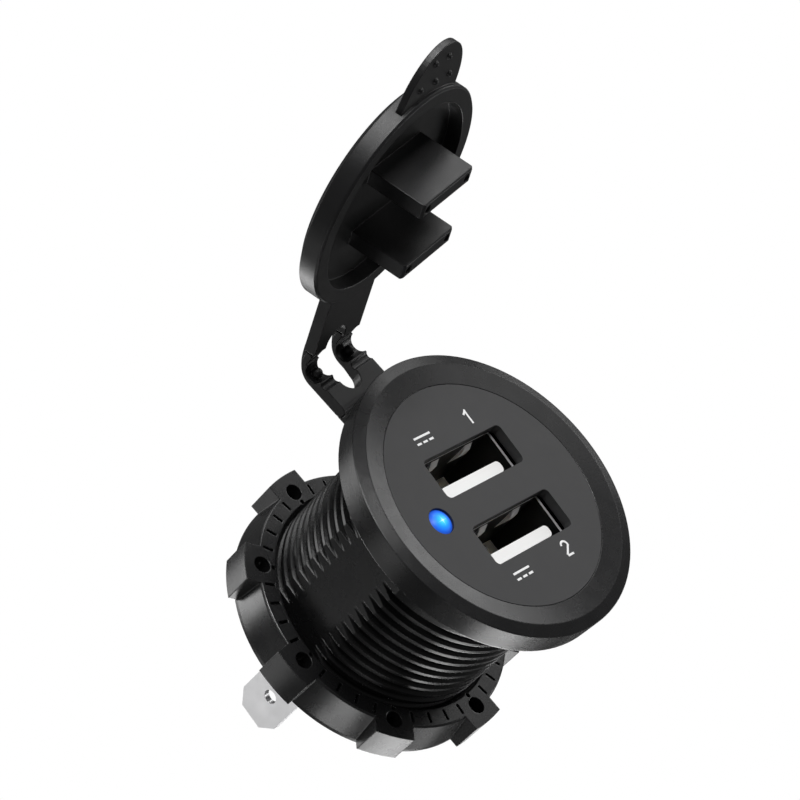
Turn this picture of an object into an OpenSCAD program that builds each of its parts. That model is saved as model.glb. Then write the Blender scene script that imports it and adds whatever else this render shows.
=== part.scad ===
// Twin USB charging socket for a round panel hole, with a rubber cap on a folding strap.
// The origin is the centre of the barrel at the panel's front face. +Z points out of the panel,
// +Y to the top of the socket and +X to its right, as the user sees it. The cap stands open.

/* [Flange and face] */
// Reach of the flange beyond the thread's crests
flange_over = 4.3; // [4:0.1:7]
// Height of the flange above the shoulder behind it
flange_h = 3.85; // [3:0.05:6]
// Height of the shoulder between the strap's ring and the flange
shoulder_up = 0.8; // [0.3:0.1:1.2]
// How far the flange's outer edge lies below its highest ring
edge_drop = 0.45; // [0.2:0.05:0.8]
// Taper of the flange's side wall, smaller at the panel
side_taper = 0.2; // [0:0.05:0.5]
// Width of the flange's front ring
front_ring_w = 1.45; // [0.9:0.05:2.4]
// Depth of the inner bevel, from the front ring to the face
bevel_drop = 0.45; // [0.2:0.05:1]
// Distance of the face plate's seat from the flange's edge
face_in = 3.95; // [3.2:0.05:4.4]
// Thickness of the face plate
face_t = 1.4; // [1:0.1:2]
// Gap round the face plate in its seat
face_fit = 0.05; // [0.02:0.01:0.15]

/* [Barrel] */
// Radius over the thread's crests
barrel_r = 14.2; // [13.8:0.1:15]
// Length of the barrel behind the panel's front face
barrel_len = 24.6; // [23.6:0.1:34]
// Wall of the barrel under the thread
barrel_wall = 1.2; // [0.9:0.1:1.5]
// Depth of the thread
thread_depth = 0.6; // [0.3:0.05:0.8]
// Distance from one thread groove to the next
thread_pitch = 1.5; // [1:0.1:2]
// Depth of the first groove's centre below the panel's front face
thread_first = 3.2; // [2.4:0.1:6]
// Share of the pitch taken by the thread's crest
crest_share = 0.34; // [0.2:0.02:0.5]
// Turn of the two flats from the ports' long direction
flat_turn = -8; // [-20:1:20]
// Distance of the two flats from the barrel's axis
flat_out = 13.3; // [13.1:0.05:13.6]
// Width of the ribs that the front board stops against
rib_w = 1.6; // [1:0.1:2.5]
// Height of the ribs above the bore's wall
rib_h = 1.1; // [0.6:0.1:1.4]

/* [Ports] */
// Sideways place of both ports on the face
port_x = 0.5; // [-1:0.1:1]
// Height of the point midway between the ports
port_mid_y = -0.25; // [-0.6:0.05:0.6]
// Distance between the two ports
port_pitch = 9.2; // [8.6:0.1:9.6]
// Width of a window in the face plate
window_w = 14.1; // [13.5:0.1:14.6]
// Height of a window in the face plate
window_h = 5.2; // [5:0.1:5.5]
// Corner radius of a window
window_r = 0.7; // [0.3:0.1:1.2]
// Inner width of a connector shell
shell_w = 12.5; // [12.3:0.1:12.8]
// Inner height of a connector shell
shell_h = 5.12; // [5:0.02:5.2]
// Thickness of the shell's sheet metal
shell_t = 0.3; // [0.2:0.05:0.4]
// Gap between the shell's mouth and the back of the face plate
shell_gap = 0.05; // [0.02:0.01:0.2]
// Gap between a connector's tongue and the shell's side walls
tongue_side = 0.7; // [0.55:0.05:0.95]
// Thickness of a connector's tongue
tongue_t = 1.5; // [1.3:0.05:1.6]
// Gap between the tongue and the shell's lower wall
tongue_gap = 0.36; // [0.3:0.02:0.5]
// Depth of the tongue's end below the face
tongue_deep = 2; // [1.6:0.1:3]
// Height of the block that carries the tongue, above the front board
block_h = 4; // [3:0.5:5]
// Corner radius of the tongue's end
tongue_r = 0.6; // [0.2:0.1:0.7]
// Gap between the block and the shell
block_fit = 0.05; // [0.02:0.01:0.1]
// Width of a contact strip
contact_w = 1; // [0.6:0.1:1.2]
// Thickness of a contact strip
contact_t = 0.25; // [0.15:0.05:0.3]
// How far a contact strip stands out of the tongue
contact_proud = 0.1; // [0.05:0.05:0.15]
// Distance of the inner contacts from the port's middle
contact_in = 1; // [0.9:0.1:1.2]
// Distance of the outer contacts from the port's middle
contact_out = 3.5; // [3.3:0.1:3.7]
// Distance of the two shell springs from the port's middle
spring_x = 3.1; // [2.5:0.1:4]
// Width of a shell spring
spring_w = 1.4; // [1:0.1:2]
// How far a shell spring reaches into the port
spring_in = 0.45; // [0.2:0.05:0.5]
// Depth of a spring's middle below the face
spring_deep = 3.4; // [3:0.1:5]

/* [Indicator and marks] */
// Radius of the indicator lens
led_r = 1.6; // [1:0.1:1.8]
// Distance of the indicator's middle from the bore's wall
led_in = 2.7; // [2.4:0.1:3]
// Gap round the lens in the face plate
led_fit = 0.05; // [0.02:0.01:0.15]
// How far the lens stands out of the face
led_proud = 0.25; // [0.1:0.05:0.5]
// Length of the lens body behind its dome
led_body = 6; // [4:0.5:8]
// Distance of each lead from the lens's axis
led_pitch = 1.27; // [1.2:0.01:1.5]
// Height of a printed mark
mark_h = 1.9; // [1.2:0.1:2.2]
// Width of a printed stroke
mark_w = 0.26; // [0.15:0.01:0.4]
// Thickness of the print
mark_t = 0.04; // [0.03:0.01:0.1]
// Height of the upper marks' middle above the barrel's axis
mark_top_y = 9.25; // [8.8:0.05:9.6]
// Height of the lower marks' middle above the barrel's axis
mark_low_y = -9.5; // [-10:0.05:-9.2]
// Sideways place of the supply marks
mark_left_x = -4.1; // [-5:0.1:-3]
// Sideways place of the port numbers
mark_right_x = 4.2; // [3:0.1:5]

/* [Boards and parts] */
// Gap between the circuit boards and the bore
board_fit = 0.2; // [0.1:0.05:0.6]
// Thickness of both circuit boards
board_t = 1.6; // [1:0.1:2]
// Depth of the front board's front side
front_board_z = 9.2; // [8.6:0.1:11]
// Clear height between the boards
board_space = 8.9; // [8.5:0.1:11]
// Radius of the posts between the boards
post_r = 1.6; // [1.2:0.1:2]
// Distance of the posts' middles from the bore's wall
post_in = 2.5; // [2.2:0.1:3]
// Thickness of a header pin
pin_w = 0.5; // [0.4:0.05:0.6]
// Distance between header pins
pin_pitch = 2; // [1.8:0.1:2.54]
// Number of header pins
pin_count = 6; // [4:1:6]
// Height of the header's plastic strip
header_h = 2.5; // [1.5:0.1:4]
// Distance of the header's middle from the bore's wall
header_in = 3.2; // [3.1:0.05:3.4]
// Radius of the input capacitor
input_cap_r = 3.15; // [2:0.05:3.2]
// Height of the input capacitor
input_cap_h = 7.4; // [5:0.1:7.6]
// Radius of the output capacitor
output_cap_r = 2.5; // [2:0.1:2.6]
// Height of the output capacitor
output_cap_h = 6; // [4:0.1:7]
// Radius of the inductor's end discs
coil_r = 4; // [3:0.1:4]
// Height of the inductor
coil_h = 5.2; // [4:0.1:6]
// Height of the converter chip
chip_h = 1.6; // [1:0.1:2.5]
// Height of the diode
diode_h = 2.2; // [1.5:0.1:3]
// Hole clearance round pins and leads
pin_fit = 0.08; // [0.05:0.01:0.2]

/* [Rear cover and terminals] */
// Thickness of the rear cover's plate
cover_t = 1.5; // [1:0.1:3]
// How far the cover's rim stands in from the thread's crests
cover_step = 0.8; // [0.5:0.1:1.6]
// Height of the boss round the blades
boss_h = 2.5; // [1:0.1:4]
// Radius of the boss round the blades
boss_r = 10.5; // [9.5:0.1:11.5]
// Gap between the cover's skirt and the bore
cover_fit = 0.05; // [0.02:0.01:0.1]
// Wall of the cover's skirt
skirt_t = 1.3; // [1:0.1:1.8]
// Width of a blade
blade_w = 6.3; // [4.8:0.1:6.6]
// Thickness of a blade
blade_t = 0.8; // [0.5:0.1:1]
// Length of a blade behind the boss
blade_len = 13.2; // [8:0.1:16]
// Distance of the blades from the bore's wall
blade_in = 6.1; // [5.2:0.1:6.4]
// Height of the blades' middles above the barrel's axis
blade_y = -0.3; // [-0.5:0.1:0.5]
// Radius of the hole in a blade
blade_hole_r = 0.9; // [0.6:0.1:1.2]
// Distance of the hole from the blade's end
blade_hole_in = 4.9; // [4:0.1:6]
// Width of the corner cut at the blade's end
blade_cut_w = 1.45; // [0.5:0.05:1.8]
// Length of the corner cut at the blade's end
blade_cut_l = 2.1; // [0.8:0.1:3]
// Width of the shoulders that stop a blade in the cover
shoulder_w = 8; // [7.4:0.1:9]
// Height of the shoulders
shoulder_h = 1.2; // [0.8:0.1:2]
// Width of the tab that a blade is soldered by
tab_w = 2.5; // [1.5:0.1:3.5]
// Gap round a blade in the cover and round its tab in the board
blade_fit = 0.1; // [0.05:0.01:0.2]

/* [Ring nut] */
// Distance of the nut's rear side from the barrel's rear end
nut_from_end = 1.3; // [0.2:0.1:16]
// Thickness of the nut
nut_t = 5.2; // [5:0.1:8]
// Width of the nut's front ring between the lobes, from the thread's crests
nut_ring_w = 2.8; // [2.6:0.1:3.4]
// Reach of the lobes beyond the flange's edge
lobe_over = 0.3; // [0:0.1:1.5]
// Width of a lobe
lobe_w = 5.1; // [4:0.1:6]
// Height of a lobe along the barrel
lobe_h = 4.4; // [3:0.1:4.8]
// How far the nut's rear rim lies inside the lobes' outer side
rim_in = 1.2; // [0.8:0.1:1.4]
// Height of the nut's rear rim
rim_h = 0.8; // [0.5:0.1:0.8]
// Turn of the first lobe from the ports' long direction
nut_turn = 6.3; // [0:0.1:45]
// Radius of the holes in the lobes
lobe_hole_r = 1.05; // [0.7:0.05:1.1]
// Distance of the holes' middles from the lobes' outer side
lobe_hole_in = 2.35; // [2.1:0.05:2.5]
// Depth of the holes in the lobes
lobe_hole_deep = 3; // [1:0.1:4]
// Radius of the small dots inside the holes
dot_r = 0.28; // [0.2:0.01:0.35]
// Distance of the small dots from the thread's crests
dot_off = 0.75; // [0.7:0.05:0.85]
// Length of the short slots in the nut's front
slot_l = 1.35; // [0.8:0.05:1.6]
// Width of the short slots
slot_w = 0.36; // [0.2:0.02:0.5]
// Distance of the slots' middles from the thread's crests
slot_off = 1.55; // [1.4:0.05:1.7]
// Depth of the short slots
slot_deep = 0.9; // [0.4:0.1:2]
// Running gap between the nut and the thread's crests
nut_fit = 0.06; // [0.02:0.01:0.1]

/* [Cap and strap] */
// How far the cap's edge lies inside the face plate's seat
cap_in = 0.55; // [0.35:0.05:1.15]
// Thickness of the cap
cap_t = 3; // [2.6:0.1:4]
// Width of the cap's rim round its dish
cap_rim_w = 2; // [1.7:0.05:2.6]
// Depth of the cap's inner dish
dish_deep = 1.9; // [1.4:0.1:2.2]
// Height of the shut cap's rim above the face
cap_gap = 0.3; // [0.2:0.05:0.6]
// Width of a plug
plug_w = 9.4; // [8:0.1:11]
// Thickness of a plug
plug_t = 2; // [1.5:0.1:2.1]
// Length of a plug beyond the cap's rim
plug_len = 5.45; // [3:0.05:7]
// Height of a plug's middle above its port's middle
plug_up = 0.66; // [0.62:0.02:0.74]
// Corner cut at a plug's end
plug_cut = 0.3; // [0.1:0.05:0.5]
// Radius of the round dents in a plug's end
dent_r = 0.55; // [0.3:0.05:0.6]
// Distance of the dents from the plug's middle
dent_x = 3.7; // [2:0.1:3.9]
// Half width of the pull tab at its root
tab_half = 5.4; // [4:0.1:6]
// Reach of the pull tab beyond the cap's edge
tab_len = 6.3; // [4:0.1:10]
// Thickness of the pull tab
tab_t = 0.8; // [0.6:0.1:1.2]
// How far the tab lies behind the cap's rim
tab_back = 0.6; // [0.5:0.1:0.8]
// Radius of the round grip dots
grip_r = 0.38; // [0.25:0.01:0.5]
// Turn of the strap from the socket's top
strap_turn = 8; // [-10:0.5:10]
// Width of the strap
strap_w = 9.4; // [8:0.1:11]
// Thickness of the strap and of its ring
strap_t = 1.5; // [1.2:0.1:1.8]
// Width of the strap's ring, from the thread's crests
ring_w = 1; // [0.8:0.1:2.2]
// Gap between the strap's ring and the barrel
ring_fit = 0.1; // [0.05:0.05:0.3]
// Distance of the strap's first bend from the flange's edge
root_off = 0.1; // [0:0.1:0.6]
// Gap between the strap's ring piece and the round end of its lower piece
root_gap = 0.15; // [0.1:0.05:0.2]
// Distance of the fold from the strap's first bend, with the cap shut
fold_off = 3.2; // [3:0.1:3.6]
// How far the fold lies behind the cap's rim
fold_back = 1; // [0.9:0.05:1.1]
// How far the cap stands open from shut
open_angle = 107; // [90:0.5:110]
// Share of that turn which the lower strap makes
root_angle = 46; // [42:0.5:48]
// How far the upper strap's front lies behind the cap's rim, beside the cap
strap_back = 0.72; // [0.65:0.01:0.8]
// How much nearer to the rim's plane the upper strap's front lies at the fold
strap_slope = 0.4; // [0:0.05:0.42]
// Half thickness of the thin wall at the fold
web_half = 0.4; // [0.3:0.05:0.45]
// Gap between that wall's round end and the upper strap
web_gap = 0.1; // [0.05:0.01:0.15]
// Radius of the lower strap's outside where it curls up to the fold
curl_r = 2.65; // [2.4:0.05:2.8]
// Radius of the round channel inside the curl
channel_r = 1.2; // [0.9:0.05:1.25]
// Distance of the channel's middle from the fold, along the lower strap
channel_in = 1.85; // [1.8:0.05:2]
// Height of the channel's middle above the lower strap's middle
channel_up = 1; // [0.95:0.05:1.1]
// Radius of the round studs in the channel
bead_r = 0.65; // [0.5:0.05:0.7]
// How deep a stud sinks into the channel's floor
bead_sink = 0.15; // [0.1:0.05:0.2]
// Width of the opening between the strap's arms
arm_gap = 3.8; // [2.4:0.1:4]
// Sideways shift of that opening
arm_shift = -0.4; // [-0.6:0.1:0.6]
// Reach of that opening into the upper strap
arm_gap_up = 2.7; // [2.5:0.1:4.5]
// Distance of that opening's other end from the first bend
arm_gap_low = 0.8; // [0.6:0.1:1.2]
// Radius of that opening's round low end
low_end_r = 1.7; // [0.6:0.1:1.8]
// Width of the round flex groove in each arm
groove_w = 1; // [0.6:0.05:1.05]
// Depth of the flex groove
groove_deep = 0.3; // [0.15:0.05:0.35]
// Distance of the flex groove's middle from the channel's middle
groove_in = 1.87; // [1.85:0.01:1.95]

/* [Hidden] */
$fn = 96;
// Small overlap that lets a cut pass right through a surface
cut = 0.5;

// Heights along the barrel, worked out from the sizes above
shoulder_z = strap_t;
flange_back_z = shoulder_z + shoulder_up;
flange_top_z = flange_back_z + flange_h;
face_z = flange_top_z - bevel_drop;
plate_back_z = face_z - face_t;
shell_top_z = plate_back_z - shell_gap;
front_board_back_z = -front_board_z - board_t;
power_board_top_z = front_board_back_z - board_space;
power_board_back_z = power_board_top_z - board_t;
cover_back_z = -barrel_len - cover_t;
boss_back_z = cover_back_z - boss_h;
blade_end_z = boss_back_z - blade_len;
root_r = barrel_r - thread_depth;
bore_r = root_r - barrel_wall;
nut_z = barrel_len - nut_from_end - nut_t;

// Radii and distances that follow from the barrel
flange_r = barrel_r + flange_over;
bevel_r = flange_r - front_ring_w;
face_r = flange_r - face_in;
cap_r = face_r - cap_in;
dish_r = cap_r - cap_rim_w;
tab_root = cap_r - 1;
tab_reach = cap_r + tab_len;
board_r = bore_r - board_fit;
post_out = bore_r - post_in;
header_out = bore_r - header_in;
blade_x = bore_r - blade_in;
led_x = bore_r - led_in;
nut_r = barrel_r + nut_ring_w;
lobe_r = flange_r + lobe_over;
rim_r = lobe_r - rim_in;
lobe_hole_out = lobe_r - lobe_hole_in;
dot_out = barrel_r + dot_off;
slot_out = barrel_r + slot_off;
ring_r = barrel_r + ring_w;
root_out = flange_r + root_off;
fold_out = root_out + fold_off;
tongue_w = shell_w - 2 * tongue_side;

// Middle heights of the upper and the lower port
port_y = [port_mid_y + port_pitch / 2, port_mid_y - port_pitch / 2];
tongue_top_y = -shell_h / 2 + tongue_gap + tongue_t;
contact_top_y = tongue_top_y + contact_proud;
contact_end_z = face_z - tongue_deep - 0.6;
contact_xs = [-contact_out, -contact_in, contact_in, contact_out];

// The fold's mechanism, seen from the side: distance from the barrel's axis, then height
root_pt = [root_out, strap_t / 2];
rim_shut_z = face_z + cap_gap;
fold_shut = [fold_out, rim_shut_z + fold_back];
link_len = norm(fold_shut - root_pt);
link_tilt = atan2(fold_shut[1] - root_pt[1], fold_shut[0] - root_pt[0]) - root_angle;
fold_in_link = [link_len * cos(link_tilt), link_len * sin(link_tilt)];
fold_pt = root_pt + fold_in_link;
channel_pt = [fold_in_link[0] - channel_in, channel_up];
arm_mid = (arm_gap + strap_w) / 4;
arm_side = arm_shift / 2;

// Draws a side outline, given as distance and height, across the strap's width
module across(width) {
    rotate([90, 0, 90])
        translate([0, 0, -width / 2])
            linear_extrude(width)
                children();
}

// A box with four round upright edges
module round_box(w, h, z0, z1, r) {
    translate([-w / 2 + r, -h / 2, z0]) cube([w - 2 * r, h, z1 - z0]);
    translate([-w / 2, -h / 2 + r, z0]) cube([w, h - 2 * r, z1 - z0]);
    for (sx = [-1, 1], sy = [-1, 1])
        translate([sx * (w / 2 - r), sy * (h / 2 - r), z0])
            cylinder(r = r, h = z1 - z0, $fn = 32);
}

// A plain box given by its middle, its two widths and its two heights
module block_at(x, y, w, h, z0, z1) {
    translate([x - w / 2, y - h / 2, z0]) cube([w, h, z1 - z0]);
}

// A ring, or a disc where the inner radius is zero
module ring(r_out, r_in, z0, z1) {
    difference() {
        translate([0, 0, z0]) cylinder(r = r_out, h = z1 - z0);
        if (r_in > 0)
            translate([0, 0, z0 - cut]) cylinder(r = r_in, h = z1 - z0 + 2 * cut);
    }
}

// Outline of the barrel's outside, groove by groove, from the flange down to its rear end
function groove_tops() =
    [for (z = [thread_first : thread_pitch : barrel_len - thread_pitch]) -z];
crest_half = thread_pitch * crest_share / 2;
groove_half = (thread_pitch / 2 - crest_half) / 3;
function barrel_outline() = concat(
    [[0, shoulder_z], [barrel_r, shoulder_z]],
    [for (z = groove_tops(), p = [
        [barrel_r, z + thread_pitch / 2 - crest_half],
        [root_r, z + groove_half],
        [root_r, z - groove_half],
        [barrel_r, z - thread_pitch / 2 + crest_half]
    ]) p],
    [[barrel_r, -barrel_len], [0, -barrel_len]]
);

module barrel_housing() {
    color("#1b1b1c")
    difference() {
        union() {
            intersection() {
                rotate_extrude() polygon(barrel_outline());
                rotate([0, 0, flat_turn])
                    translate([-flat_out, -barrel_r - cut, -barrel_len - cut])
                        cube([2 * flat_out, 2 * (barrel_r + cut), barrel_len + flange_back_z + cut]);
            }
            rotate_extrude() polygon([
                [0, shoulder_z],
                [ring_r, shoulder_z],
                [ring_r, flange_back_z],
                [flange_r - side_taper, flange_back_z],
                [flange_r, flange_top_z - edge_drop],
                [bevel_r, flange_top_z],
                [face_r, face_z],
                [0, face_z]
            ]);
        }
        translate([0, 0, plate_back_z]) cylinder(r = face_r, h = flange_h);
        difference() {
            translate([0, 0, -barrel_len - cut]) cylinder(r = bore_r, h = barrel_len + plate_back_z + 2 * cut);
            for (a = [45 : 90 : 315])
                rotate([0, 0, a])
                    translate([bore_r - rib_h, -rib_w / 2, -front_board_z])
                        cube([rib_h + cut, rib_w, front_board_z + plate_back_z]);
        }
    }
}

module face_plate() {
    color("#37383a")
    difference() {
        translate([0, 0, plate_back_z]) cylinder(r = face_r - face_fit, h = face_t);
        for (y = port_y)
            translate([port_x, y, 0])
                round_box(window_w, window_h, plate_back_z - cut, face_z + cut, window_r);
        translate([-led_x, 0, plate_back_z - cut])
            cylinder(r = led_r + led_fit, h = face_t + 2 * cut, $fn = 48);
    }
}

// A straight printed stroke between two points
module stroke(a, b) {
    d = b - a;
    translate(a)
        rotate([0, 0, atan2(d[1], d[0])])
            translate([0, -mark_w / 2, 0])
                cube([norm(d), mark_w, mark_t]);
}

// The sign for direct current: a bar over three dashes
module supply_mark() {
    stroke([-mark_h * 0.75, mark_h * 0.2], [mark_h * 0.75, mark_h * 0.2]);
    for (k = [-1, 0, 1])
        stroke([mark_h * (0.56 * k - 0.19), -mark_h * 0.2], [mark_h * (0.56 * k + 0.19), -mark_h * 0.2]);
}

module number_one() {
    stroke([0, -mark_h / 2], [0, mark_h / 2 - mark_w / 2]);
    stroke([-mark_h * 0.28, mark_h * 0.22], [mark_w / 2, mark_h / 2]);
}

module number_two() {
    bow_r = mark_h * 0.27;
    bow_y = mark_h / 2 - bow_r;
    stroke([-bow_r, -mark_h / 2 + mark_w / 2], [bow_r, -mark_h / 2 + mark_w / 2]);
    stroke([-bow_r, -mark_h / 2 + mark_w], [bow_r * 0.86, bow_y - bow_r * 0.35]);
    translate([0, bow_y, 0])
        intersection() {
            difference() {
                cylinder(r = bow_r + mark_w / 2, h = mark_t, $fn = 40);
                translate([0, 0, -cut]) cylinder(r = bow_r - mark_w / 2, h = mark_t + 2 * cut, $fn = 40);
            }
            translate([0, 0, -cut])
                linear_extrude(2 * cut)
                    polygon([[0, 0], [1.6, -0.7], [1.6, 1.6], [-1.6, 1.6], [-1.6, 0.25]] * mark_h);
        }
}

module port_marks() {
    color("#f2f2f2")
    translate([0, 0, face_z]) {
        translate([mark_left_x, mark_top_y, 0]) supply_mark();
        translate([mark_right_x, mark_top_y, 0]) number_one();
        translate([mark_left_x, mark_low_y, 0]) supply_mark();
        translate([mark_right_x, mark_low_y, 0]) number_two();
    }
}

module status_led() {
    top_z = face_z + led_proud;
    dome_r = led_r * 1.6;
    low_z = top_z - led_r - led_body;
    color("#2f6dff")
    translate([-led_x, 0, 0]) {
        intersection() {
            translate([0, 0, low_z]) cylinder(r = led_r, h = top_z - low_z, $fn = 48);
            translate([0, 0, top_z - dome_r]) sphere(r = dome_r, $fn = 64);
        }
        translate([0, 0, low_z]) cylinder(r = led_r, h = led_body, $fn = 48);
        translate([0, 0, low_z]) cylinder(r = led_r + 0.3, h = 1, $fn = 48);
    }
}

module led_leads() {
    low_z = face_z + led_proud - led_r - led_body;
    color("#c9c9cc")
    for (s = [-1, 1])
        block_at(-led_x, s * led_pitch, pin_w, pin_w, front_board_back_z - 0.6, low_z);
}

module usb_shell(y) {
    color("#b9bcc0")
    translate([port_x, y, 0]) {
        difference() {
            block_at(0, 0, shell_w + 2 * shell_t, shell_h + 2 * shell_t, -front_board_z, shell_top_z);
            block_at(0, 0, shell_w, shell_h, -front_board_z - cut, shell_top_z + cut);
        }
        for (s = [-1, 1])
            translate([s * spring_x, 0, face_z - spring_deep])
                across(spring_w)
                    polygon([
                        [shell_h / 2 + shell_t / 2, 1.6],
                        [shell_h / 2, 1.6],
                        [shell_h / 2 - spring_in, 0.5],
                        [shell_h / 2 - spring_in, -0.5],
                        [shell_h / 2, -2.6],
                        [shell_h / 2 + shell_t / 2, -2.6]
                    ]);
    }
}

// The slots that the contact strips lie in, in the tongue and through its block
module contact_slots(fit) {
    for (x = contact_xs)
        translate([x - contact_w / 2 - fit, contact_top_y - contact_t - fit, -front_board_z - cut])
            cube([contact_w + 2 * fit, contact_t + 2 * fit, contact_end_z + front_board_z + cut]);
}

module usb_tongue(y) {
    end_z = face_z - tongue_deep;
    mid_y = tongue_top_y - tongue_t / 2;
    color("#f4f4f2")
    translate([port_x, y, 0])
        difference() {
            union() {
                block_at(0, 0, shell_w - 2 * block_fit, shell_h - 2 * block_fit,
                    -front_board_z, -front_board_z + block_h);
                translate([0, mid_y, 0])
                    round_box(tongue_w, tongue_t, -front_board_z, end_z, tongue_r);
            }
            contact_slots(0);
        }
}

module usb_contacts(y) {
    color("#d8b45a")
    translate([port_x, y, 0])
        for (x = contact_xs)
            translate([x - contact_w / 2, contact_top_y - contact_t, front_board_back_z - 0.6])
                cube([contact_w, contact_t, contact_end_z - front_board_back_z + 0.6]);
}

function post_spots() = [for (a = [90, 222, 312]) post_out * [cos(a), sin(a)]];
function pin_xs() = [for (k = [0 : pin_count - 1]) (k - (pin_count - 1) / 2) * pin_pitch];
// The header stands on the right of the boards, along the Y direction
header_x = header_out;

module pin_holes(z0, z1) {
    for (p = pin_xs())
        translate([header_x, p, z0])
            cylinder(r = pin_w * 0.71 + pin_fit, h = z1 - z0, $fn = 24);
}

module front_board() {
    color("#1f5a35")
    difference() {
        translate([0, 0, front_board_back_z]) cylinder(r = board_r, h = board_t);
        for (y = port_y, x = contact_xs)
            block_at(port_x + x, y + contact_top_y - contact_t / 2, contact_w + 2 * pin_fit,
                contact_t + 2 * pin_fit, front_board_back_z - cut, -front_board_z + cut);
        for (s = [-1, 1])
            translate([-led_x, s * led_pitch, front_board_back_z - cut])
                cylinder(r = pin_w * 0.71 + pin_fit, h = board_t + 2 * cut, $fn = 24);
        pin_holes(front_board_back_z - cut, -front_board_z + cut);
    }
}

module power_board() {
    color("#1f5a35")
    difference() {
        translate([0, 0, power_board_back_z]) cylinder(r = board_r, h = board_t);
        for (s = [-1, 1])
            block_at(s * blade_x, blade_y, blade_t + 2 * blade_fit, tab_w + 2 * blade_fit,
                power_board_back_z - cut, power_board_top_z + cut);
        pin_holes(power_board_back_z - cut, power_board_top_z + cut);
    }
}

module board_posts() {
    color("#d9d4c4")
    for (p = post_spots())
        translate([p[0], p[1], power_board_top_z]) cylinder(r = post_r, h = board_space, $fn = 32);
}

module header_strip() {
    color("#202022")
    difference() {
        block_at(header_x, 0, pin_w * 4, pin_count * pin_pitch, power_board_top_z, power_board_top_z + header_h);
        for (p = pin_xs())
            block_at(header_x, p, pin_w, pin_w, power_board_top_z - cut, power_board_top_z + header_h + cut);
    }
}

module header_pins() {
    color("#d8b45a")
    for (p = pin_xs())
        block_at(header_x, p, pin_w, pin_w, power_board_back_z - 0.8, -front_board_z + 0.8);
}

// The inductor stands on the power board, left of the middle
coil_at = [-1.4, -5.6];
coil_flange = 0.9;
coil_core_r = 1.7;
wire_in = 0.3;

module inductor_core() {
    color("#55565a")
    translate([coil_at[0], coil_at[1], power_board_top_z]) {
        cylinder(r = coil_r, h = coil_flange, $fn = 48);
        cylinder(r = coil_core_r, h = coil_h, $fn = 48);
        translate([0, 0, coil_h - coil_flange]) cylinder(r = coil_r, h = coil_flange, $fn = 48);
    }
}

module inductor_winding() {
    color("#a4582c")
    translate([coil_at[0], coil_at[1], power_board_top_z])
        ring(coil_r - wire_in, coil_core_r, coil_flange, coil_h - coil_flange);
}

input_cap_at = [-0.6, 3.4];
output_cap_at = [-7, 5.4];
chip_at = [-6.4, 5.6];
diode_at = [6.1, 5.3];
chip_size = [4, 5];
diode_size = [2.6, 4.3];

module input_capacitor() {
    color("#24262b")
    translate([input_cap_at[0], input_cap_at[1], power_board_top_z])
        cylinder(r = input_cap_r, h = input_cap_h, $fn = 48);
}

module output_capacitor() {
    color("#24262b")
    translate([output_cap_at[0], output_cap_at[1], front_board_back_z - output_cap_h])
        cylinder(r = output_cap_r, h = output_cap_h, $fn = 48);
}

module converter_chip() {
    color("#1a1a1c")
    block_at(chip_at[0], chip_at[1], chip_size[0], chip_size[1],
        power_board_top_z, power_board_top_z + chip_h);
}

module diode() {
    color("#1a1a1c")
    block_at(diode_at[0], diode_at[1], diode_size[0], diode_size[1],
        power_board_top_z, power_board_top_z + diode_h);
}

module rear_cover() {
    color("#1e1e20")
    difference() {
        union() {
            ring(bore_r - cover_fit, bore_r - cover_fit - skirt_t, -barrel_len, power_board_back_z);
            ring(barrel_r - cover_step, 0, cover_back_z, -barrel_len);
            ring(boss_r, 0, boss_back_z, cover_back_z);
        }
        for (s = [-1, 1])
            block_at(s * blade_x, blade_y, blade_t + 2 * blade_fit, blade_w + 2 * blade_fit,
                boss_back_z - cut, -barrel_len + cut);
    }
}

// A push-on blade with a hole near its end, its stop shoulders and its solder tab
module terminal(side) {
    color("#c6c8cb")
    translate([side * blade_x - blade_t / 2, blade_y, 0])
        difference() {
            rotate([90, 0, 90])
                linear_extrude(blade_t)
                    polygon([
                        [-blade_w / 2, -barrel_len],
                        [-blade_w / 2, blade_end_z + blade_cut_l],
                        [-blade_w / 2 + blade_cut_w, blade_end_z],
                        [blade_w / 2 - blade_cut_w, blade_end_z],
                        [blade_w / 2, blade_end_z + blade_cut_l],
                        [blade_w / 2, -barrel_len],
                        [shoulder_w / 2, -barrel_len],
                        [shoulder_w / 2, -barrel_len + shoulder_h],
                        [tab_w / 2, -barrel_len + shoulder_h],
                        [tab_w / 2, power_board_top_z + 0.6],
                        [-tab_w / 2, power_board_top_z + 0.6],
                        [-tab_w / 2, -barrel_len + shoulder_h],
                        [-shoulder_w / 2, -barrel_len + shoulder_h],
                        [-shoulder_w / 2, -barrel_len]
                    ]);
            translate([-cut, 0, blade_end_z + blade_hole_in])
                rotate([0, 90, 0])
                    cylinder(r = blade_hole_r, h = blade_t + 2 * cut, $fn = 32);
        }
}

lobe_count = 8;
slots_between = 4;
slot_step = 360 / lobe_count / (slots_between + 1);

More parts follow.
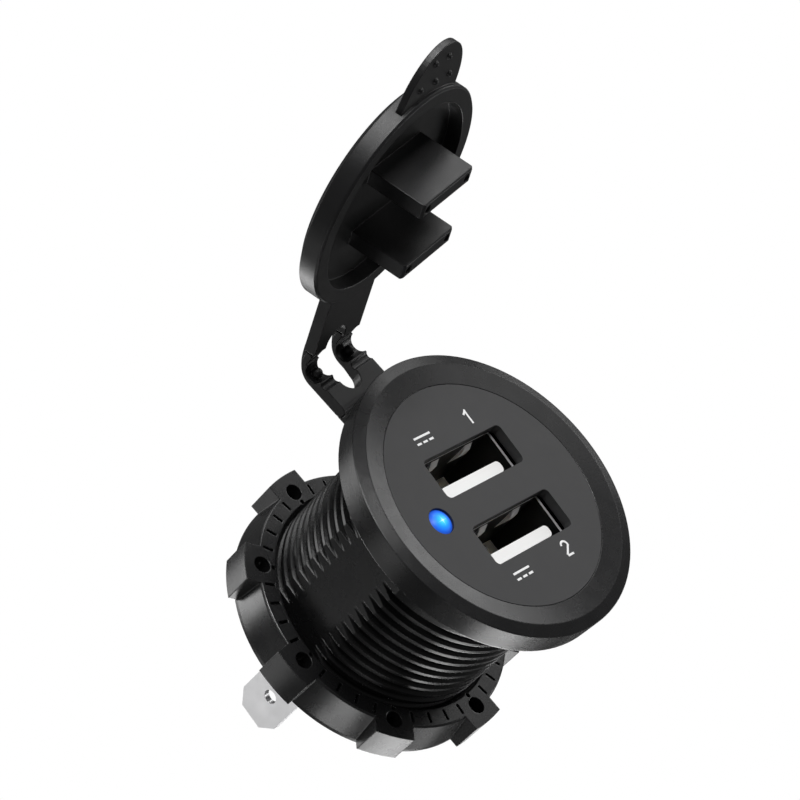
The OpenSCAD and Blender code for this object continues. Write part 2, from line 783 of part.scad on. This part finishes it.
module ring_nut() {
    bore = barrel_r + nut_fit;
    back = -nut_t;
    color("#1b1b1c")
    rotate([0, 0, nut_turn])
        translate([0, 0, -nut_z])
            difference() {
                union() {
                    rotate_extrude() polygon([
                        [bore, -0.5],
                        [bore + 0.5, 0],
                        [nut_r - 0.2, 0],
                        [nut_r, -0.2],
                        [rim_r, back + rim_h],
                        [rim_r, back + 0.3],
                        [rim_r - 0.3, back],
                        [bore, back]
                    ]);
                    intersection() {
                        ring(lobe_r, bore + 1, -lobe_h, 0);
                        for (a = [0 : 360 / lobe_count : 359])
                            rotate([0, 0, a])
                                translate([0, -lobe_w / 2, -lobe_h]) cube([lobe_r + cut, lobe_w, lobe_h]);
                    }
                }
                for (a = [0 : 360 / lobe_count : 359]) {
                    rotate([0, 0, a]) {
                        translate([lobe_hole_out, 0, -lobe_hole_deep])
                            cylinder(r = lobe_hole_r, h = lobe_hole_deep + cut, $fn = 32);
                        translate([dot_out, 0, -slot_deep])
                            cylinder(r = dot_r, h = slot_deep + cut, $fn = 24);
                    }
                    for (k = [1 : slots_between])
                        rotate([0, 0, a + k * slot_step])
                            translate([slot_out - slot_l / 2, -slot_w / 2, -slot_deep])
                                cube([slot_l, slot_w, slot_deep + cut]);
                }
            }
}

module strap_ring() {
    color("#161617")
    rotate([0, 0, strap_turn])
        difference() {
            union() {
                cylinder(r = ring_r, h = strap_t);
                translate([-strap_w / 2, 0, 0]) cube([strap_w, root_pt[0], strap_t]);
            }
            translate([0, 0, -cut]) cylinder(r = barrel_r + ring_fit, h = strap_t + 2 * cut);
            translate([0, root_pt[0], root_pt[1]])
                rotate([0, 90, 0])
                    cylinder(r = strap_t / 2 + root_gap, h = strap_w + 2, center = true, $fn = 48);
        }
}

// Puts a part that is drawn from the strap's first bend in its place
module place_link() {
    rotate([0, 0, strap_turn])
        translate([0, root_pt[0], root_pt[1]])
            children();
}

// The flex groove is the bottom of a round bar's print, on the way to the channel
groove_r = (groove_w * groove_w / 4 + groove_deep * groove_deep) / (2 * groove_deep);
groove_y = channel_pt[0] - groove_in;

// The opening between the arms, with a narrow round low end
module arm_opening() {
    low_y = arm_gap_low + low_end_r;
    linear_extrude(14, center = true)
        polygon(concat(
            [for (a = [180 : 15 : 360]) [arm_shift + low_end_r * cos(a), low_y + low_end_r * sin(a)]],
            [
                [arm_shift + arm_gap / 2, channel_pt[0] - channel_r],
                [arm_shift + arm_gap / 2, link_len + 3],
                [arm_shift - arm_gap / 2, link_len + 3],
                [arm_shift - arm_gap / 2, channel_pt[0] - channel_r]
            ]
        ));
}

// The lower strap: a flat bar that curls up into a thin wall at the fold, with a channel inside the curl
module strap_link() {
    half = strap_t / 2;
    curl_pt = [fold_in_link[0] + web_half - curl_r, curl_r - half];
    color("#161617")
    place_link() {
        difference() {
            union() {
                rotate([0, 90, 0]) cylinder(r = half, h = strap_w, center = true, $fn = 48);
                across(strap_w)
                    polygon(concat(
                        [[0, -half]],
                        [for (a = [-90 : 7.5 : 0]) curl_pt + curl_r * [cos(a), sin(a)]],
                        [
                            fold_in_link + [web_half, 0],
                            fold_in_link - [web_half, 0],
                            [fold_in_link[0] - web_half, channel_pt[1]],
                            channel_pt,
                            [channel_pt[0], half],
                            [0, half]
                        ]
                    ));
                translate([0, fold_in_link[0], fold_in_link[1]])
                    rotate([0, 90, 0])
                        cylinder(r = web_half, h = strap_w, center = true, $fn = 48);
            }
            translate([0, channel_pt[0], channel_pt[1]])
                rotate([0, 90, 0])
                    cylinder(r = channel_r, h = strap_w + 2, center = true, $fn = 48);
            arm_opening();
            translate([0, groove_y, half - groove_deep + groove_r])
                rotate([0, 90, 0])
                    cylinder(r = groove_r, h = strap_w + 2, center = true, $fn = 48);
        }
        for (s = [-1, 1])
            translate([s * arm_mid + arm_side, channel_pt[0], channel_pt[1] - channel_r + bead_r - bead_sink])
                sphere(r = bead_r, $fn = 32);
    }
}

// Puts a part that is drawn on the cap's rim in its place: X across, Y to the tab, Z along the plugs
module place_cap() {
    rotate([0, 0, strap_turn])
        translate([0, fold_pt[0], fold_pt[1]])
            rotate([180 - open_angle, 0, 0])
                translate([0, fold_out, fold_back])
                    children();
}

// A plug with its end's edges cut and two round dents in its end
module plug() {
    back = -dish_deep - 0.5;
    difference() {
        intersection() {
            rotate([90, 0, 0])
                translate([0, 0, -plug_t / 2])
                    linear_extrude(plug_t)
                        polygon([
                            [-plug_w / 2, back], [plug_w / 2, back],
                            [plug_w / 2, plug_len - plug_cut], [plug_w / 2 - plug_cut, plug_len],
                            [-plug_w / 2 + plug_cut, plug_len], [-plug_w / 2, plug_len - plug_cut]
                        ]);
            across(plug_w)
                polygon([
                    [-plug_t / 2, back], [plug_t / 2, back],
                    [plug_t / 2, plug_len - plug_cut / 2], [plug_t / 2 - plug_cut / 2, plug_len],
                    [-plug_t / 2 + plug_cut / 2, plug_len], [-plug_t / 2, plug_len - plug_cut / 2]
                ]);
        }
        for (s = [-1, 1])
            translate([s * dent_x, 0, plug_len - 0.3]) cylinder(r = dent_r, h = 1, $fn = 32);
    }
}

// The strap's upper piece, from the cap's rim to the fold
module upper_strap() {
    end_y = -fold_out + web_half + web_gap;
    root_y = -cap_r + 1;
    difference() {
        across(strap_w)
            polygon([
                [end_y, -strap_back + strap_slope],
                [root_y, -strap_back],
                [root_y, -strap_back - strap_t],
                [end_y, -strap_back + strap_slope - strap_t]
            ]);
        translate([arm_shift - arm_gap / 2, -fold_out - 1, -6])
            cube([arm_gap, arm_gap_up + 1 - arm_gap / 2, 12]);
        translate([arm_shift, -fold_out + arm_gap_up - arm_gap / 2, -6])
            cylinder(r = arm_gap / 2, h = 12, $fn = 48);
    }
}

// Grip dots: sideways place and distance beyond the cap's edge
grip_spots = [[-3, 1.3], [-0.1, 1.4], [2.8, 1.3], [-1.7, 4.3], [1, 4.3]];

module cap() {
    color("#161617")
    place_cap() {
        difference() {
            rotate_extrude() polygon([
                [0, -cap_t],
                [cap_r - 1.2, -cap_t],
                [cap_r, -cap_t + 0.7],
                [cap_r, -0.25],
                [cap_r - 0.25, 0],
                [0, 0]
            ]);
            translate([0, 0, -dish_deep]) cylinder(r = dish_r, h = cap_t);
        }
        rotate([0, 0, strap_turn])
            for (y = port_y)
                translate([port_x, -y - plug_up, 0]) plug();
        difference() {
            translate([0, 0, -tab_back - tab_t])
                linear_extrude(tab_t)
                    polygon(concat(
                        [[-tab_half, tab_root - 2], [tab_half, tab_root - 2]],
                        [for (a = [0 : 5 : 180])
                            [tab_half * cos(a), tab_root + (tab_reach - tab_root) * sin(a)]]
                    ));
            translate([0, 0, -cap_t]) cylinder(r = cap_r - 0.6, h = 2 * cap_t);
        }
        for (p = grip_spots)
            translate([p[0], cap_r + p[1], -tab_back]) sphere(r = grip_r, $fn = 24);
        upper_strap();
    }
}

barrel_housing();
face_plate();
port_marks();
status_led();
led_leads();
usb_shell(port_y[0]);  // usb_shell_upper
usb_shell(port_y[1]);  // usb_shell_lower
usb_tongue(port_y[0]);  // usb_tongue_upper
usb_tongue(port_y[1]);  // usb_tongue_lower
usb_contacts(port_y[0]);  // usb_contacts_upper
usb_contacts(port_y[1]);  // usb_contacts_lower
front_board();
power_board();
board_posts();
header_strip();
header_pins();
inductor_core();
inductor_winding();
input_capacitor();
output_capacitor();
converter_chip();
diode();
rear_cover();
terminal(-1);  // terminal_positive
terminal(1);  // terminal_negative
ring_nut();
strap_ring();
strap_link();
cap();
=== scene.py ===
import bpy
import math
from mathutils import Vector, Matrix


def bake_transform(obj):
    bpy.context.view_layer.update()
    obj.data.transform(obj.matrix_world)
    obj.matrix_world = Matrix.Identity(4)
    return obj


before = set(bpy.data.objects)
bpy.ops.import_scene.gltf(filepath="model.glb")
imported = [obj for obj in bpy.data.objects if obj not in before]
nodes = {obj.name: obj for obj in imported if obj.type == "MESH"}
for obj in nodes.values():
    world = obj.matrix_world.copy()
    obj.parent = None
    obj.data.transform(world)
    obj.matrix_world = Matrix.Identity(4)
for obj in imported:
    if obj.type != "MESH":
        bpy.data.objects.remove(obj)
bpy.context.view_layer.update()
scene = bpy.context.scene

# The picture is taken from the front left, well above the face, with a long lens,
# so the barrel runs down to the lower left and the open cap stands at the upper left.
camera = bpy.data.objects.new("camera", bpy.data.cameras.new("camera"))
scene.collection.objects.link(camera)
scene.camera = camera
camera.data.sensor_width = 36
camera.data.lens = 135
camera.matrix_world = Matrix((
    (0.621177, 0.293991, -0.726463, -0.247854),
    (-0.586092, 0.789658, -0.181593, -0.046626),
    (0.520293, 0.538567, 0.662766, 0.228732),
    (0, 0, 0, 1)))
scene.view_settings.view_transform = "Standard"

# The backdrop is plain white, as on the catalogue page. Only the camera sees it white:
# the part itself stands in a dim grey studio.
world = bpy.data.worlds.new("studio")
scene.world = world
world.use_nodes = True
world_nodes = world.node_tree.nodes
world_links = world.node_tree.links
world_nodes.clear()
out = world_nodes.new("ShaderNodeOutputWorld")
mix = world_nodes.new("ShaderNodeMixShader")
path = world_nodes.new("ShaderNodeLightPath")
seen = world_nodes.new("ShaderNodeBackground")
seen.inputs["Color"].default_value = (1, 1, 1, 1)
lit = world_nodes.new("ShaderNodeBackground")
lit.inputs["Color"].default_value = (0.5, 0.5, 0.5, 1)
lit.inputs["Strength"].default_value = 0.16
world_links.new(path.outputs["Is Camera Ray"], mix.inputs["Fac"])
world_links.new(lit.outputs[0], mix.inputs[1])
world_links.new(seen.outputs[0], mix.inputs[2])
world_links.new(mix.outputs[0], out.inputs["Surface"])


# Soft boxes of one size stand all round the part, each facing it. Their strengths give the
# bands of light that the photograph shows along the rims, the thread and the nut.
def soft_box(name, way, glow):
    distance = 0.6
    lamp = bpy.data.lights.new(name, "AREA")
    lamp.shape = "SQUARE"
    lamp.size = 0.2
    lamp.energy = glow * math.pi * lamp.size * lamp.size
    holder = bpy.data.objects.new(name, lamp)
    scene.collection.objects.link(holder)
    holder.location = Vector(way).normalized() * distance
    holder.rotation_euler = (-holder.location).to_track_quat("-Z", "Y").to_euler()


soft_box("top", (-0.08, 0.39, 0.92), 18)
soft_box("cap_side", (-0.40, 0.50, 0.76), 5)
soft_box("top_back", (0.38, 0.68, 0.63), 4)
soft_box("back_right", (0.30, 0.90, 0.30), 1.2)
soft_box("right_back", (0.66, 0.58, 0.48), 1.6)
soft_box("right_side", (0.92, 0.19, 0.36), 2.8)
soft_box("right_top", (0.57, 0.00, 0.82), 1.2)
soft_box("right_front", (0.82, -0.55, 0.15), 3.6)
soft_box("low_back_left", (-0.45, 0.70, -0.55), 3.6)
soft_box("low_back", (-0.16, 0.70, -0.70), 1.5)
soft_box("low_front", (0.03, -0.63, -0.77), 4)
soft_box("low_front_side", (0.35, -0.75, -0.55), 0.8)
soft_box("low_front_right", (0.29, -0.41, -0.86), 8)
soft_box("low_right", (0.59, -0.02, -0.81), 1.6)
soft_box("under", (0.06, 0.12, -0.99), 5)
soft_box("blade_side", (-0.68, 0.13, -0.72), 0.8)
soft_box("nut_side", (-0.60, -0.66, -0.45), 3)

# The barrel and flange are one moulding in satin black plastic. Its grain is fine, its
# gloss varies a little over its width, and its edges are slightly round from the mould.
grain = bpy.data.node_groups.new("moulded_grain", "ShaderNodeTree")
grain.interface.new_socket("Size", in_out="INPUT", socket_type="NodeSocketFloat")
grain.interface.new_socket("Height", in_out="OUTPUT", socket_type="NodeSocketFloat")
grain.interface.new_socket("Wear", in_out="OUTPUT", socket_type="NodeSocketFloat")
g_in = grain.nodes.new("NodeGroupInput")
g_out = grain.nodes.new("NodeGroupOutput")
g_where = grain.nodes.new("ShaderNodeTexCoord")
g_fine = grain.nodes.new("ShaderNodeTexNoise")
g_fine.inputs["Detail"].default_value = 3
g_wide = grain.nodes.new("ShaderNodeTexNoise")
g_wide.inputs["Scale"].default_value = 400
g_wide.inputs["Detail"].default_value = 2
grain.links.new(g_where.outputs["Object"], g_fine.inputs["Vector"])
grain.links.new(g_where.outputs["Object"], g_wide.inputs["Vector"])
grain.links.new(g_in.outputs["Size"], g_fine.inputs["Scale"])
grain.links.new(g_fine.outputs["Fac"], g_out.inputs["Height"])
grain.links.new(g_wide.outputs["Fac"], g_out.inputs["Wear"])


# A surface with that grain: colour, roughness, grain depth and size, and the radius that
# its sharp edges seem to have, in metres
def skin(name, color, roughness, depth, size, edge, metallic=0.0):
    swing = 0.06
    grain_height = 0.00005
    mat = bpy.data.materials.new(name)
    mat.use_nodes = True
    nt = mat.node_tree
    bsdf = nt.nodes["Principled BSDF"]
    bsdf.inputs["Base Color"].default_value = (*color, 1)
    bsdf.inputs["Metallic"].default_value = metallic
    texture = nt.nodes.new("ShaderNodeGroup")
    texture.node_tree = grain
    texture.inputs["Size"].default_value = size
    spread = nt.nodes.new("ShaderNodeMapRange")
    spread.inputs["To Min"].default_value = roughness - swing
    spread.inputs["To Max"].default_value = roughness + swing
    nt.links.new(texture.outputs["Wear"], spread.inputs["Value"])
    nt.links.new(spread.outputs["Result"], bsdf.inputs["Roughness"])
    bump = nt.nodes.new("ShaderNodeBump")
    bump.inputs["Strength"].default_value = depth
    bump.inputs["Distance"].default_value = grain_height
    nt.links.new(texture.outputs["Height"], bump.inputs["Height"])
    if edge:
        bevel = nt.nodes.new("ShaderNodeBevel")
        bevel.samples = 8
        bevel.inputs["Radius"].default_value = edge
        nt.links.new(bevel.outputs["Normal"], bump.inputs["Normal"])
    nt.links.new(bump.outputs["Normal"], bsdf.inputs["Normal"])
    return mat


def paint(obj, mat):
    obj.data.materials.clear()
    obj.data.materials.append(mat)


housing_plastic = skin("housing_plastic", (0.010, 0.010, 0.0105), 0.27, 0.12, 9000, 0.00015)
paint(nodes["barrel_housing"], housing_plastic)

# The nut and the rear cover are moulded in the same black plastic, a little glossier.
# The nut runs on the barrel's thread, and the cover is pressed into its rear end.
nut_plastic = skin("nut_plastic", (0.011, 0.011, 0.0115), 0.27, 0.10, 9000, 0.00015)
nut_plastic.node_tree.nodes["Principled BSDF"].inputs["Specular IOR Level"].default_value = 0.9
paint(nodes["ring_nut"], nut_plastic)
paint(nodes["rear_cover"], nut_plastic)

# The face plate is a thin separate disc of plastic with a flat, even, dark grey finish.
# It is pressed into the flange.
face_plastic = skin("face_plastic", (0.036, 0.036, 0.037), 0.60, 0.08, 12000, 0.0001)
paint(nodes["face_plate"], face_plastic)

# The marks beside the ports are printed on the face plate in matt white ink: the sign for
# direct current at the left of each port and the port's number at the right.
white_ink = skin("white_ink", (0.88, 0.88, 0.88), 0.70, 0.05, 15000, 0)
paint(nodes["port_marks"], white_ink)

# The indicator is a clear blue lens. Its lit chip shows as a pale point that fades through
# blue to a dark rim, with a small star of light in the middle.
lens_x = -0.0097
lens_radius = 0.0016
star_reach = 0.0008
star_arm = 0.000000012
lens = skin("lens_blue", (0.01, 0.05, 0.25), 0.40, 0.0, 9000, 0)
nt = lens.node_tree
bsdf = nt.nodes["Principled BSDF"]
bsdf.inputs["Specular IOR Level"].default_value = 0.25
where = nt.nodes.new("ShaderNodeTexCoord")
apart = nt.nodes.new("ShaderNodeVectorMath")
apart.operation = "SUBTRACT"
apart.inputs[1].default_value = (lens_x, 0, 0)
flat = nt.nodes.new("ShaderNodeVectorMath")
flat.operation = "MULTIPLY"
flat.inputs[1].default_value = (1, 1, 0)
length = nt.nodes.new("ShaderNodeVectorMath")
length.operation = "LENGTH"
nt.links.new(where.outputs["Object"], apart.inputs[0])
nt.links.new(apart.outputs["Vector"], flat.inputs[0])
nt.links.new(flat.outputs["Vector"], length.inputs[0])


# One step of arithmetic on numbers or on the outputs of earlier nodes
def step(nt, operation, first, second=None, clamp=False):
    node = nt.nodes.new("ShaderNodeMath")
    node.operation = operation
    node.use_clamp = clamp
    for k, value in enumerate((first, second)):
        if isinstance(value, (int, float)):
            node.inputs[k].default_value = value
        elif value is not None:
            nt.links.new(value, node.inputs[k])
    return node.outputs["Value"]


glow = nt.nodes.new("ShaderNodeValToRGB")
ramp = glow.color_ramp
ramp.elements[0].position = 0.0
ramp.elements[0].color = (0.20, 1.0, 1.0, 1)
ramp.elements[1].position = 1.0
ramp.elements[1].color = (0.008, 0.03, 0.25, 1)
tints = ((0.25, (0.03, 0.60, 0.95, 1)), (0.50, (0.01, 0.30, 0.92, 1)), (0.78, (0.008, 0.10, 0.65, 1)))
for place, tint in tints:
    stop = ramp.elements.new(place)
    stop.color = tint
nt.links.new(step(nt, "DIVIDE", length.outputs["Value"], lens_radius), glow.inputs["Fac"])
sides = nt.nodes.new("ShaderNodeSeparateXYZ")
nt.links.new(flat.outputs["Vector"], sides.inputs["Vector"])
cross = step(nt, "ABSOLUTE", step(nt, "MULTIPLY", sides.outputs["X"], sides.outputs["Y"]))
thin = step(nt, "SUBTRACT", 1.0, step(nt, "DIVIDE", cross, star_arm), True)
near = step(nt, "SUBTRACT", 1.0, step(nt, "DIVIDE", length.outputs["Value"], star_reach), True)
star = nt.nodes.new("ShaderNodeMix")
star.data_type = "RGBA"
star.inputs["B"].default_value = (0.85, 1.0, 1.0, 1)
nt.links.new(step(nt, "MULTIPLY", thin, near), star.inputs["Factor"])
nt.links.new(glow.outputs["Color"], star.inputs["A"])
nt.links.new(star.outputs["Result"], bsdf.inputs["Emission Color"])
bsdf.inputs["Emission Strength"].default_value = 1.0
paint(nodes["status_led"], lens)

# The port shells are pressed from plated steel. Their walls are painted near black as painted
# shade inside the ports, the two springs in each are painted white as painted highlights, and
# the cut front edges show the plating as metal. The values, in metres, say where these are.
ports_drop = 0.00025
half_pitch = 0.0046
ports_x = 0.0005
spring_height = 0.00253
spring_width = 0.0062
front_edge = 0.00421
shell = skin("shell_steel", (0.05, 0.05, 0.05), 0.45, 0.05, 6000, 0)
nt = shell.node_tree
bsdf = nt.nodes["Principled BSDF"]
where = nt.nodes.new("ShaderNodeTexCoord")
split = nt.nodes.new("ShaderNodeSeparateXYZ")
nt.links.new(where.outputs["Object"], split.inputs["Vector"])
from_middle = step(nt, "ABSOLUTE", step(nt, "ADD", split.outputs["Y"], ports_drop))
from_port = step(nt, "ABSOLUTE", step(nt, "SUBTRACT", from_middle, half_pitch))
from_side = step(nt, "ABSOLUTE", step(nt, "SUBTRACT", split.outputs["X"], ports_x))
# Where the springs are, which get a painted highlight
spring_glint = step(nt, "MULTIPLY", step(nt, "LESS_THAN", from_port, spring_height),
              step(nt, "LESS_THAN", from_side, spring_width))
front = step(nt, "GREATER_THAN", split.outputs["Z"], front_edge)
# Painted shade on the walls, painted highlights on the springs, plain metal plating on the front
# edges
painted_light_and_plating = nt.nodes.new("ShaderNodeMix")
painted_light_and_plating.data_type = "RGBA"
painted_light_and_plating.inputs["A"].default_value = (0.010, 0.010, 0.010, 1)
painted_light_and_plating.inputs["B"].default_value = (0.90, 0.90, 0.91, 1)
nt.links.new(step(nt, "MAXIMUM", spring_glint, front), painted_light_and_plating.inputs["Factor"])
nt.links.new(painted_light_and_plating.outputs["Result"], bsdf.inputs["Base Color"])
nt.links.new(front, bsdf.inputs["Metallic"])
bsdf.inputs["Specular IOR Level"].default_value = 0.12
for name in ("usb_shell_upper", "usb_shell_lower"):
    paint(nodes[name], shell)

# The tongues are moulded in white plastic, with gold plated contact strips in their upper
# sides. The pin header between the boards is plated the same way.
white_plastic = skin("tongue_white", (0.92, 0.92, 0.91), 0.45, 0.05, 9000, 0.0001)
for name in ("usb_tongue_upper", "usb_tongue_lower"):
    paint(nodes[name], white_plastic)
gold = skin("contact_gold", (0.80, 0.60, 0.25), 0.30, 0.05, 9000, 0, 1.0)
for name in ("usb_contacts_upper", "usb_contacts_lower", "header_pins"):
    paint(nodes[name], gold)

# The blades are stamped brass with a bright tin plating, held in the rear cover. The
# indicator's leads are tinned too.
tin = skin("blade_tin", (0.97, 0.97, 0.98), 0.32, 0.05, 4000, 0, 1.0)
for name in ("terminal_positive", "terminal_negative", "led_leads"):
    paint(nodes[name], tin)

# Inside the barrel stand two green boards of glass laminate. Pale plastic posts hold them
# apart.
board_green = skin("board_green", (0.02, 0.12, 0.05), 0.40, 0.10, 3000, 0)
for name in ("front_board", "power_board"):
    paint(nodes[name], board_green)
post_plastic = skin("post_plastic", (0.55, 0.50, 0.42), 0.50, 0.05, 6000, 0)
paint(nodes["board_posts"], post_plastic)

# The boards carry black moulded parts and two can capacitors in dark sleeves, soldered on,
# and a coil of enamelled copper wire on a black core.
part_black = skin("part_black", (0.02, 0.02, 0.02), 0.50, 0.10, 9000, 0)
for name in ("header_strip", "converter_chip", "diode", "inductor_core"):
    paint(nodes[name], part_black)
can_sleeve = skin("can_sleeve", (0.03, 0.03, 0.05), 0.35, 0.05, 6000, 0.0001)
for name in ("input_capacitor", "output_capacitor"):
    paint(nodes[name], can_sleeve)
coil_copper = skin("coil_copper", (0.50, 0.20, 0.08), 0.35, 0.10, 3000, 0, 1.0)
paint(nodes["inductor_winding"], coil_copper)

# The cap, its strap and its ring are one moulding in soft black rubber with a dull skin.
# The ring is held between the flange and the panel.
rubber = skin("strap_rubber", (0.011, 0.011, 0.0115), 0.38, 0.20, 7000, 0.00018)
for name in ("strap_ring", "strap_link", "cap"):
    paint(nodes[name], rubber)


# Where the strap bends, its rubber goes on as a thin wall from one part to the next.
# Each strip is drawn from the side, in mm out from the barrel's axis and up from its
# origin, as pairs of points on its outer and inner faces.
def rubber_fold(name, pairs, left, right):
    strap_turn = math.radians(8)
    across = Vector((math.cos(strap_turn), math.sin(strap_turn), 0))
    outward = Vector((-math.sin(strap_turn), math.cos(strap_turn), 0))
    mm = 0.001

    def place(side, point):
        return (across * side + outward * point[0] + Vector((0, 0, point[1]))) * mm

    points = []
    for outer, inner in pairs:
        points += [place(left, outer), place(right, outer), place(right, inner), place(left, inner)]
    faces = [(3, 2, 1, 0)]
    for k in range(len(pairs) - 1):
        low = 4 * k
        for m in range(4):
            faces.append((low + m, low + (m + 1) % 4, low + 4 + (m + 1) % 4, low + 4 + m))
    top = 4 * (len(pairs) - 1)
    faces.append((top, top + 1, top + 2, top + 3))
    mesh = bpy.data.meshes.new(name)
    mesh.from_pydata(points, [], faces)
    piece = bpy.data.objects.new(name, mesh)
    scene.collection.objects.link(piece)
    paint(piece, rubber)
    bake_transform(piece)


half_width = 4.68
half_thickness = 0.735
root = Vector((18.6, 0.75))
root_steps = (-0.75, -0.60, -0.45, -0.30, -0.15, 0.0, 0.15, 0.30, 0.45)
root_pairs = [(root + Vector((a, -half_thickness)), root + Vector((a, half_thickness)))
              for a in root_steps]
rubber_fold("strap_root_wall", root_pairs, -half_width, half_width)

slot_left = -2.32
slot_right = 1.52
fold = Vector((25.3188, 2.7897))
outer_line = ((-0.34, -2.00), (0.06, -1.50), (0.33, -1.10), (0.52, -0.75),
              (0.66, -0.45), (0.77, -0.20), (0.87, 0.05), (0.96, 0.27),
              (1.02, 0.42), (1.105, 0.65), (1.195, 0.90))
inner_line = ((-0.50, -1.85), (-0.15, -1.35), (0.05, -1.00), (0.15, -0.70),
              (0.20, -0.45), (0.24, -0.25), (0.30, -0.05), (0.40, 0.18),
              (0.50, 0.36), (0.62, 0.60), (0.78, 0.95))
fold_pairs = [(fold + Vector(a), fold + Vector(b)) for a, b in zip(outer_line, inner_line)]
rubber_fold("strap_fold_wall_left", fold_pairs, -half_width, slot_left)
rubber_fold("strap_fold_wall_right", fold_pairs, slot_right, half_width)
